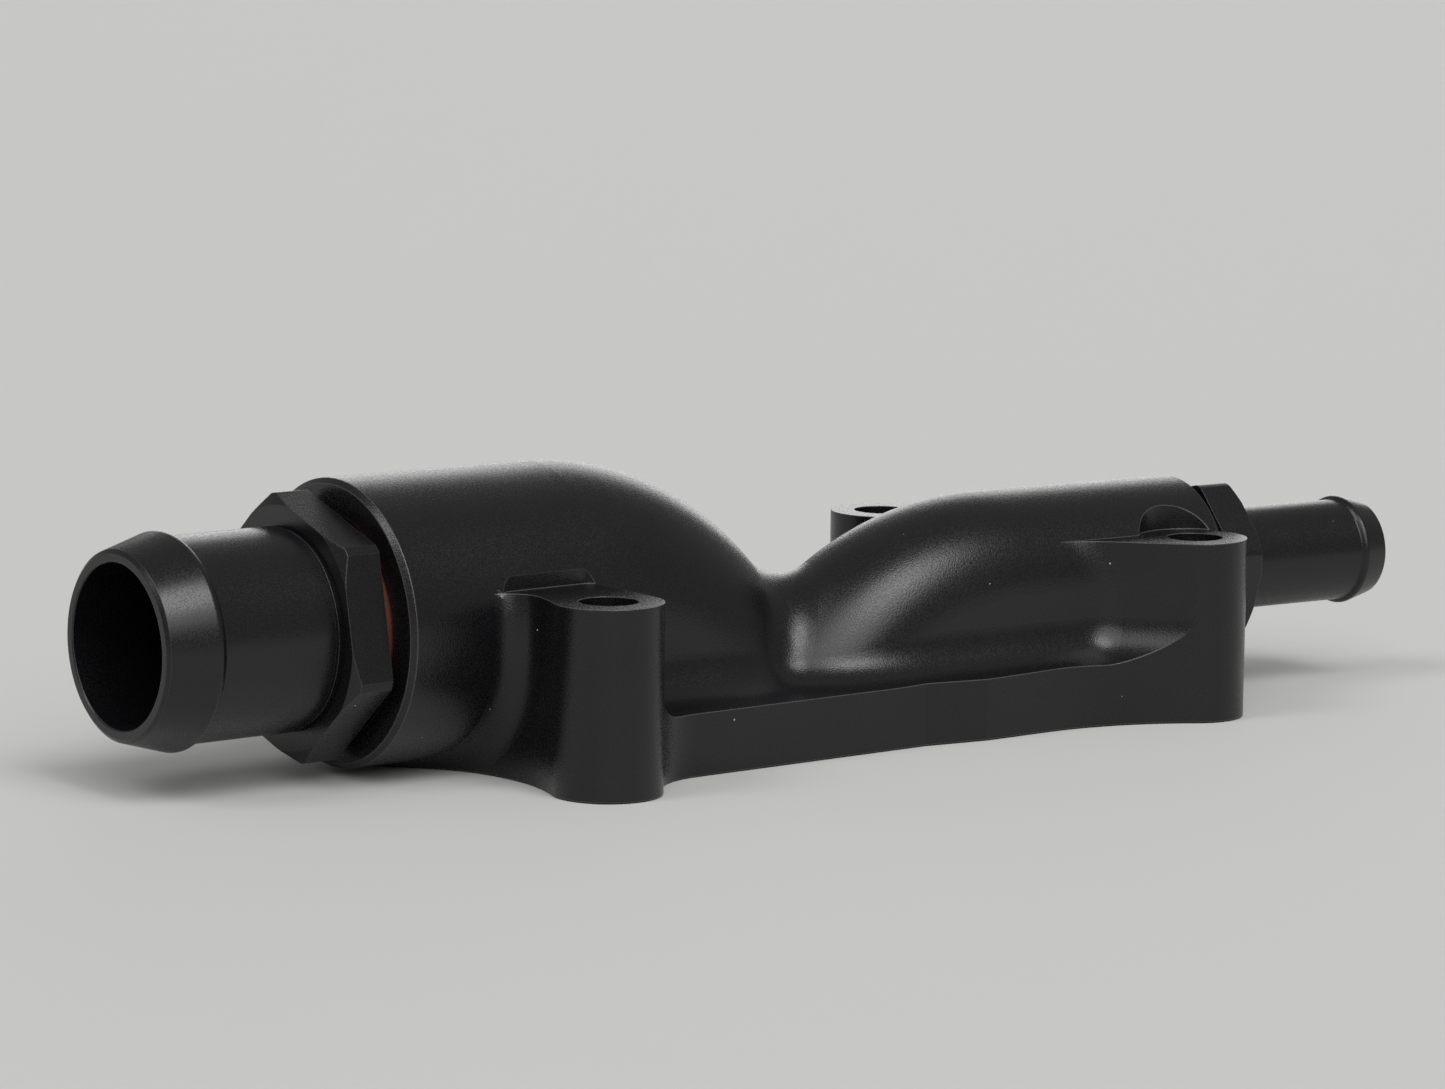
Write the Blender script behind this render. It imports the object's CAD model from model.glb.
import bpy
import math
import numpy as np
from mathutils import Matrix, Vector


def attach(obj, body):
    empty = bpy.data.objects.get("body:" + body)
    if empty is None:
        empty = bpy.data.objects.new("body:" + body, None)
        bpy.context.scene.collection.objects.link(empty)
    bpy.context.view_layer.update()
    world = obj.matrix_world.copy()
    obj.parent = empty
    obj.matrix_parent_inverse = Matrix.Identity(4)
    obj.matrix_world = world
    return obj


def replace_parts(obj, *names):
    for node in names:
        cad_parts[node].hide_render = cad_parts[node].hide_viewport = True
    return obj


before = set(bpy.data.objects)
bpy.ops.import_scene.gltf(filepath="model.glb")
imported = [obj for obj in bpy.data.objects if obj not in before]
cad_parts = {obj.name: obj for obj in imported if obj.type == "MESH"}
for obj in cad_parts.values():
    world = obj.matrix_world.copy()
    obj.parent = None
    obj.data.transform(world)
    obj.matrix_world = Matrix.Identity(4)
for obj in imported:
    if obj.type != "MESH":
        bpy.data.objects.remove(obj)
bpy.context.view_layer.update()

MM = 0.001

# The middle of each port's face in mm, and the way out of it, as the solids have them
SMALL_TURN = math.radians(4.9)
LARGE_PORT = Vector((-25.3, 36.0, 22.9))
SMALL_PORT = Vector((129.2, 17.2, 21.3))
LARGE_OUT = Vector((-1, 0, 0))
SMALL_OUT = Vector((math.cos(SMALL_TURN), -math.sin(SMALL_TURN), 0))

# Each hose end in mm: radii, heights out of the port's face, the hexagon's width across its flats
# and the angle of its first flat. Behind the bead, foot and crest are the two ends of its shoulder.
LARGE_END = dict(
    bore=12.4, thread=15.0, neck=14.2, hose=15.5, bead=16.6, rim=14.2,
    stem=14.0, hex_start=1.9, hex_end=8.5, flats=36.0, turned=20.4, front=18.6, chamfer=1.0,
    hex_angle=11.3, foot=28.5, crest=29.3, crest_round=1.2, end=37.6)
SMALL_END = dict(
    bore=6.5, thread=9.0, neck=8.1, hose=8.4, bead=9.1, rim=7.75,
    stem=12.0, hex_start=1.7, hex_end=8.4, flats=24.5, turned=13.8, front=12.6, chamfer=0.7,
    hex_angle=11.9, foot=33.2, crest=33.9, crest_round=0.8, end=39.1)

# What both hose ends share, in mm
LEAD_CHAMFER = 1.0
THREAD_RELIEF = 2.0
GROOVE_DEPTH, GROOVE_FLOOR, GROOVE_WIDTH = 0.4, 0.6, 0.8
FOOT_ROUND = 0.3
RIM_CHAMFER = 0.5
BORE_CHAMFER = 0.2

# A turned piece has one step a degree, and edges sharper than this stay crisp in its shading
DEGREES = np.arange(0, 360, 1.0)
CRISP_FROM = math.radians(18)

# Where the left web's seat runs out against the large branch and the cutter left a bright burr, in mm
BURR_PLACE = Vector((-9.2, 14.0, 29.0))
BURR_REACH = 1.8

# Dust, in mm: the size of a speck, and how far apart specks would be if none were left out
DUST_SPECK, DUST_SPACING = 0.13, 4.5
DUST_LEFT_OUT = 0.55

# Noise hardly leaves this range, so this is what is stretched over a material's own range
NOISE_LOW, NOISE_HIGH = 0.35, 0.65

# The photograph's camera: the focal length in its pixels, its place in mm, and its angles in degrees
PHOTO_WIDTH = 1445
FOCAL_LENGTH = 5481.81
SENSOR_WIDTH_MM = 36.0
CAMERA_PLACE = Vector((-479.91, -641.48, 156.33))
CAMERA_ANGLES = (38.0, 8.44, 0.63)

# The floor's half width, and how far it is below the mounting face so that the two don't flicker, in m
FLOOR_HALF = 30.0
FLOOR_BELOW = 0.0002


def linear(hex_colour):
    """An sRGB hex colour as the linear values that Blender's sockets take."""
    channels = [int(hex_colour[i:i + 2], 16) / 255 for i in (1, 3, 5)]
    return [c / 12.92 if c <= 0.04045 else ((c + 0.055) / 1.055) ** 2.4 for c in channels] + [1.0]


def feed(tree, fed, inputs):
    """Give a node's inputs, by name or number, an output socket or a plain value each."""
    for name, source in inputs:
        if isinstance(source, bpy.types.NodeSocket):
            tree.links.new(fed.inputs[name], source)
        else:
            fed.inputs[name].default_value = source


def node(tree, kind, inputs=(), **settings):
    """Add a node with its settings, and feed its inputs."""
    made = tree.nodes.new(kind)
    for name, value in settings.items():
        setattr(made, name, value)
    feed(tree, made, inputs)
    return made


def per_mm(size_mm):
    """Pattern scale in Object coordinates for a feature of this size."""
    return 1 / (size_mm * MM)


def blank_material(name):
    """A new material with its tree, shader and Object coordinates."""
    material = bpy.data.materials.new(name)
    material.use_nodes = True
    tree = material.node_tree
    shader = tree.nodes["Principled BSDF"]
    place = node(tree, "ShaderNodeTexCoord").outputs["Object"]
    return material, tree, shader, place


def over(tree, below, mask, colour):
    """Colour laid over another where a mask is 1."""
    return node(tree, "ShaderNodeMix", [("Factor", mask), ("A", below), ("B", linear(colour))],
                data_type="RGBA").outputs["Result"]


def dye_tone(tree, place, grain, colour, light_colour):
    """Black dye that takes a little unevenly: with the blasted grain, and over areas of 16 mm."""
    cloud = node(tree, "ShaderNodeTexNoise", [
        ("Vector", place), ("Scale", per_mm(16.0)), ("Detail", 2.0)])
    mixed = node(tree, "ShaderNodeMath", [(0, grain), (1, cloud.outputs["Fac"])],
                 operation="MULTIPLY")
    tone = node(tree, "ShaderNodeValToRGB", [("Fac", mixed.outputs[0])])
    dark, light = tone.color_ramp.elements
    dark.color, light.color = linear(colour), linear(light_colour)
    dark.position, light.position = 0.12, 0.5
    return tone.outputs["Color"]


def dust(tree, place):
    """A mask of a few pale specks of dust: the middles of scattered cells, more than half of them
    left out."""
    cells = node(tree, "ShaderNodeTexVoronoi", [
        ("Vector", place), ("Scale", per_mm(DUST_SPACING)), ("Randomness", 1.0)])
    near = node(tree, "ShaderNodeMath", [
        (0, cells.outputs["Distance"]), (1, DUST_SPECK / DUST_SPACING)], operation="LESS_THAN")
    pick = node(tree, "ShaderNodeSeparateColor", [("Color", cells.outputs["Color"])])
    few = node(tree, "ShaderNodeMath", [(0, pick.outputs["Red"]), (1, DUST_LEFT_OUT)],
               operation="GREATER_THAN")
    return node(tree, "ShaderNodeMath", [(0, near.outputs[0]), (1, few.outputs[0])],
                operation="MULTIPLY").outputs[0]


def burr(tree, place, grain):
    """A mask of the scratched bright metal: full up to a fifth of its reach, gone at the whole of it,
    and ragged in between where the grain is strong enough."""
    way = node(tree, "ShaderNodeVectorMath", [(0, place), (1, BURR_PLACE * MM)],
               operation="DISTANCE")
    near = node(tree, "ShaderNodeMapRange", [
        ("Value", way.outputs["Value"]),
        ("From Min", BURR_REACH * MM), ("From Max", 0.2 * BURR_REACH * MM)])
    speck = node(tree, "ShaderNodeMath", [(0, grain), (1, near.outputs["Result"])],
                 operation="MULTIPLY")
    return node(tree, "ShaderNodeMapRange", [
        ("Value", speck.outputs[0]), ("From Min", 0.30), ("From Max", 0.48)]).outputs["Result"]


def rubbed_edge(tree, rounded_normal):
    """A mask of the sharp edges, where the dyed skin is thinner: it starts where the rounded normal
    is 8 degrees off the surface's own, and is full at 20 degrees."""
    own = node(tree, "ShaderNodeNewGeometry").outputs["Normal"]
    along = node(tree, "ShaderNodeVectorMath", [(0, own), (1, rounded_normal)],
                 operation="DOT_PRODUCT")
    return node(tree, "ShaderNodeMapRange", [
        ("Value", along.outputs["Value"]),
        ("From Min", 0.99), ("From Max", 0.94)]).outputs["Result"]


def hard_anodised(name, colour, light_colour, edge_colour, grain_mm, grain_depth_mm, roughness,
                  edge_mm):
    """Aluminium, hard-anodised and dyed black: a dark oxide skin with a satin sheen. The grain left
    by blasting or turning breaks the highlight into fine specks, and edges keep a tiny radius."""
    material, tree, shader, place = blank_material(name)
    # Blasted craters are about 0.05 mm; grain_mm is as coarse as it needs to be to show.
    grain = node(tree, "ShaderNodeTexNoise", [
        ("Vector", place), ("Scale", per_mm(grain_mm)), ("Detail", 1.0),
        ("Roughness", 0.6)]).outputs["Fac"]
    spread = 0.08
    rough = node(tree, "ShaderNodeMapRange", [
        ("Value", grain), ("From Min", NOISE_LOW), ("From Max", NOISE_HIGH),
        ("To Min", roughness - spread), ("To Max", roughness + spread)])
    edges = node(tree, "ShaderNodeBevel", [("Radius", edge_mm * MM)], samples=6).outputs["Normal"]
    bump = node(tree, "ShaderNodeBump", [
        ("Height", grain), ("Normal", edges), ("Strength", 1.0), ("Distance", grain_depth_mm * MM)])
    tone = dye_tone(tree, place, grain, colour, light_colour)
    tone = over(tree, tone, rubbed_edge(tree, edges), edge_colour)
    tone = over(tree, tone, dust(tree, place), "#b9b9b4")
    feed(tree, shader, [("Roughness", rough.outputs["Result"]), ("Normal", bump.outputs["Normal"]),
                        ("Base Color", tone)])
    return material, tree, shader, place, grain, tone


def blasted_body():
    """The milled body's finish, bead-blasted before it was anodised, with the burr at the end of the
    left seat rubbed bright."""
    material, tree, shader, place, grain, tone = hard_anodised(
        "hard anodised aluminium, blasted", "#0b0b0d", "#151518", "#5c5c5f",
        grain_mm=0.28, grain_depth_mm=0.035, roughness=0.28, edge_mm=0.25)
    feed(tree, shader, [("Base Color", over(tree, tone, burr(tree, place, grain), "#8f8d8a"))])
    return material


def turned_fitting(name, turn):
    """Anodised bar turned on a lathe: a finer satin than the body's, with the faint rings of the
    tool's feed. They run round the fitting's own axis, which lies turned from X by this angle."""
    material, tree, shader, place = hard_anodised(
        name, "#0b0b0d", "#131316", "#3d3d40",
        grain_mm=0.26, grain_depth_mm=0.008, roughness=0.29, edge_mm=0.2)[:4]
    along = node(tree, "ShaderNodeMapping", [("Vector", place), ("Rotation", (0, 0, turn))],
                 vector_type="POINT")
    # A finishing feed is 0.1 to 0.2 mm a turn; 0.5 mm shows in the render. Wave bands repeat every
    # tau / 20 of a unit.
    rings = node(tree, "ShaderNodeTexWave", [
        ("Vector", along.outputs["Vector"]), ("Scale", per_mm(0.5) * math.tau / 20),
        ("Distortion", 0.6), ("Detail", 1.0)], wave_type="BANDS", bands_direction="X")
    grained = shader.inputs["Normal"].links[0].from_socket
    bump = node(tree, "ShaderNodeBump", [
        ("Height", rings.outputs["Fac"]), ("Normal", grained), ("Strength", 1.0),
        ("Distance", 0.0012 * MM)])
    feed(tree, shader, [("Normal", bump.outputs["Normal"])])
    return material


def moulded_rubber(name, colour, shade):
    """Moulded rubber: matte, faintly mottled by its filler, with a soft sheen and soft edges."""
    material, tree, shader, place = blank_material(name)
    mottle = node(tree, "ShaderNodeTexNoise", [
        ("Vector", place), ("Scale", per_mm(0.6)), ("Detail", 3.0)]).outputs["Fac"]
    tone = node(tree, "ShaderNodeMix", [
        ("Factor", mottle), ("A", linear(colour)), ("B", linear(shade))], data_type="RGBA")
    edges = node(tree, "ShaderNodeBevel", [("Radius", 0.6 * MM)], samples=6)
    bump = node(tree, "ShaderNodeBump", [
        ("Height", mottle), ("Normal", edges.outputs["Normal"]), ("Strength", 0.4),
        ("Distance", 0.02 * MM)])
    feed(tree, shader, [("Roughness", 0.55), ("Base Color", tone.outputs["Result"]),
                        ("Normal", bump.outputs["Normal"])])
    return material


def carried_round(name, face, out, height, radius, first_angle, material):
    """A closed outline carried round an axis, a step of one degree at a time. A point is
    face + out * height + (side * cos a + up * sin a) * radius."""
    turn = Vector((0, 0, 1)).rotation_difference(out)
    side, up = np.array(turn @ Vector((1, 0, 0))), np.array(turn @ Vector((0, 1, 0)))
    angle = np.radians(first_angle + DEGREES)
    ring = np.cos(angle)[:, None] * side + np.sin(angle)[:, None] * up
    points = np.array(face) + height[:, None, None] * np.array(out) + radius[:, :, None] * ring
    rows, around = radius.shape
    i, j = np.meshgrid(np.arange(rows), np.arange(around), indexing="ij")
    next_i, next_j = (i + 1) % rows, (j + 1) % around
    quads = np.stack([i * around + j, i * around + next_j,
                      next_i * around + next_j, next_i * around + j], -1)
    mesh = bpy.data.meshes.new(name)
    mesh.from_pydata((points.reshape(-1, 3) * MM).tolist(), [], quads.reshape(-1, 4).tolist())
    mesh.shade_smooth()
    mesh.set_sharp_from_angle(angle=CRISP_FROM)
    mesh.materials.append(material)
    piece = bpy.data.objects.new(name, mesh)
    bpy.context.scene.collection.objects.link(piece)
    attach(piece, "root")
    return piece


def rounded(before, corner, after, radius, steps=6):
    """Points of an outline's rounded corner: an arc of this radius that touches both runs, from the
    first run to the second in equal angles."""
    corner, a, b = (np.array(v, float) for v in (corner, before, after))
    to_a = (a - corner) / np.linalg.norm(a - corner)
    to_b = (b - corner) / np.linalg.norm(b - corner)
    half = math.acos(np.clip(to_a @ to_b, -1, 1)) / 2
    middle = corner + (to_a + to_b) / np.linalg.norm(to_a + to_b) * radius / math.sin(half)
    first = corner + to_a * radius / math.tan(half) - middle
    last = corner + to_b * radius / math.tan(half) - middle
    share = np.linspace(0, 1, steps + 1)[:, None]
    sweep = math.pi - 2 * half
    arc = (np.sin((1 - share) * sweep) * first + np.sin(share * sweep) * last) / math.sin(sweep)
    return [tuple(point) for point in middle + arc]


def hose_end(name, face, out, sizes, material):
    """A turned hose end with its hexagon, as one closed outline of (radius, height) carried round its
    axis. On the hexagon the radius is the lesser of the outline's and flats / (2 cos b), where b is
    the angle from the middle of the nearest flat."""
    bore, thread, neck, hose, rim = (sizes[k] for k in ("bore", "thread", "neck", "hose", "rim"))
    stem_end, hex_start, hex_end, end = (
        -sizes["stem"], sizes["hex_start"], sizes["hex_end"], sizes["end"])
    foot, crest = (hose, sizes["foot"]), (sizes["bead"], sizes["crest"])
    stem = [(bore, stem_end), (thread - LEAD_CHAMFER, stem_end), (thread, stem_end + LEAD_CHAMFER),
            (thread, -THREAD_RELIEF), (neck, -THREAD_RELIEF), (neck, hex_start)]
    # The corners' turned cone takes several rows, because the flats cut it in curves
    cone = [(sizes["turned"] + k * (sizes["front"] - sizes["turned"]),
             hex_end - (1 - k) * sizes["chamfer"]) for k in np.linspace(0, 1, 9)]
    hexagon = [(sizes["turned"], hex_start)] + cone
    groove = hose - GROOVE_DEPTH
    tube = [(groove, hex_end), (groove, hex_end + GROOVE_FLOOR), (hose, hex_end + GROOVE_WIDTH)]
    tube += rounded((hose, hex_end), foot, crest, FOOT_ROUND)
    tube += rounded(foot, crest, (rim, end), sizes["crest_round"], 8)
    slope = (crest[0] - rim) / (end - crest[1])
    tube += [(rim + RIM_CHAMFER * slope, end - RIM_CHAMFER), (rim - RIM_CHAMFER, end),
             (bore + BORE_CHAMFER, end), (bore, end - BORE_CHAMFER)]
    outline = np.array(stem + hexagon + tube)
    six_sided = np.zeros((len(outline), 1), bool)
    six_sided[len(stem):len(stem) + len(hexagon)] = True
    flat = sizes["flats"] / 2 / np.cos(np.radians(DEGREES % 60 - 30))
    radius = np.where(six_sided, np.minimum(outline[:, :1], flat), outline[:, :1])
    return carried_round(name, face, out, outline[:, 1], radius, sizes["hex_angle"],
                         material)


def o_ring(name, face, out, inner, outer, low, high, material):
    """An O-ring squeezed flat between two faces: its section is a superellipse, middle + half *
    |cos t| ^ 0.6 with the sign of cos t across, and the same with sin t along the axis."""
    t = np.radians(np.arange(0, 360, 10.0))
    flatness = 0.6
    across = np.sign(np.cos(t)) * np.abs(np.cos(t)) ** flatness
    along = np.sign(np.sin(t)) * np.abs(np.sin(t)) ** flatness
    radius = (inner + outer) / 2 + (outer - inner) / 2 * across
    height = (low + high) / 2 + (high - low) / 2 * along
    return carried_round(name, face, out, height, np.repeat(radius[:, None], len(DEGREES), 1), 0,
                         material)


def add_floor():
    """A wide level sheet under the part, of plain pale paint."""
    material, _, shader, _ = blank_material("painted studio floor")
    shader.inputs["Base Color"].default_value = linear("#cfcfcd")
    shader.inputs["Roughness"].default_value = 0.9
    shader.inputs["Specular IOR Level"].default_value = 0.1
    corners = [(FLOOR_HALF * x, FLOOR_HALF * y, 0) for x, y in ((-1, -1), (1, -1), (1, 1), (-1, 1))]
    mesh = bpy.data.meshes.new("studio_floor")
    mesh.from_pydata(corners, [], [(0, 1, 2, 3)])
    floor = bpy.data.objects.new("studio_floor", mesh)
    bpy.context.scene.collection.objects.link(floor)
    mesh.materials.append(material)
    floor.location.z = -FLOOR_BELOW


def soft_light(name, azimuth, elevation, spread, brightness):
    """A round softbox far away: the direction that it shines from, how wide it looks in degrees, and
    how bright, where a white sheet in full light is 1. Its strength is brightness times pi times
    sin squared of half the spread."""
    data = bpy.data.lights.new(name, "SUN")
    data.angle = math.radians(spread)
    data.energy = brightness * math.pi * math.sin(data.angle / 2) ** 2
    lamp = bpy.data.objects.new(name, data)
    bpy.context.scene.collection.objects.link(lamp)
    a, e = math.radians(azimuth), math.radians(elevation)
    way = Vector((math.cos(e) * math.cos(a), math.cos(e) * math.sin(a), math.sin(e)))
    lamp.location = way
    lamp.rotation_euler = way.to_track_quat("Z", "Y").to_euler()


def studio():
    """A wide key with a bright core from the front, a low soft light behind on the right for the
    upper edges, one on the left for the port's chamfer, and a dim even surround."""
    soft_light("wide_key", azimuth=-112, elevation=43, spread=56, brightness=2.1)
    soft_light("key_core", azimuth=-88, elevation=54, spread=28, brightness=4.0)
    soft_light("back_light", azimuth=48, elevation=14, spread=30, brightness=1.6)
    soft_light("left_light", azimuth=178, elevation=50, spread=24, brightness=4.2)
    world = bpy.data.worlds.new("studio")
    bpy.context.scene.world = world
    world.use_nodes = True
    back = world.node_tree.nodes["Background"]
    back.inputs["Color"].default_value = linear("#c8c8c8")
    back.inputs["Strength"].default_value = 0.42


def photo_camera():
    """The photograph's view: turned from +Y to the right, tilted down and rolled by its angles."""
    yaw, pitch, roll = (math.radians(v) for v in CAMERA_ANGLES)
    ahead = Vector((math.sin(yaw) * math.cos(pitch), math.cos(yaw) * math.cos(pitch),
                    -math.sin(pitch)))
    level = Vector((math.cos(yaw), -math.sin(yaw), 0))
    upright = level.cross(ahead)
    right = math.cos(roll) * level + math.sin(roll) * upright
    up = math.cos(roll) * upright - math.sin(roll) * level
    data = bpy.data.cameras.new("photo_camera")
    data.sensor_width = SENSOR_WIDTH_MM
    data.lens = FOCAL_LENGTH / PHOTO_WIDTH * data.sensor_width
    data.clip_start = 0.01
    data.clip_end = 100.0
    camera = bpy.data.objects.new("photo_camera", data)
    bpy.context.scene.collection.objects.link(camera)
    turn = Matrix((right, up, -ahead)).transposed().to_4x4()
    camera.matrix_world = Matrix.Translation(CAMERA_PLACE * MM) @ turn
    bpy.context.scene.camera = camera


body_metal = blasted_body()
large_fitting_metal = turned_fitting("anodised aluminium, turned", 0.0)
small_fitting_metal = turned_fitting("anodised aluminium, turned, small", SMALL_TURN)
# Silicone keeps its colour through and has a dry sheen; nitrile is black with carbon.
terracotta = moulded_rubber("silicone rubber, terracotta", "#6b3a2b", "#4d281d")
black_rubber = moulded_rubber("nitrile rubber, black", "#121212", "#1a1a1a")

# The photograph shows a crisper shoulder behind each bead than the solids' long blend, and a small
# groove at the hexagon's foot; all else is as they have it.
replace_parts(hose_end("large_hose_end", LARGE_PORT, LARGE_OUT, LARGE_END, large_fitting_metal),
            "large_hose_fitting")
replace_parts(hose_end("small_hose_end", SMALL_PORT, SMALL_OUT, SMALL_END, small_fitting_metal),
            "small_hose_fitting")

# Only a sliver of each O-ring shows past its hexagon, and its section is round where it isn't
# squeezed flat.
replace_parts(o_ring("large_o_ring", LARGE_PORT, LARGE_OUT, inner=14.5, outer=16.2,
                   low=-0.9, high=1.9, material=terracotta), "large_port_ring")
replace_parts(o_ring("small_o_ring", SMALL_PORT, SMALL_OUT, inner=8.5, outer=10.9,
                   low=-0.9, high=1.7, material=terracotta), "small_port_ring")

for name, material in (("flange_body", body_metal), ("base_seal_ring", black_rubber)):
    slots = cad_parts[name].data.materials
    slots.clear()
    slots.append(material)

add_floor()
studio()
photo_camera()
bpy.context.scene.view_settings.view_transform = "Standard"
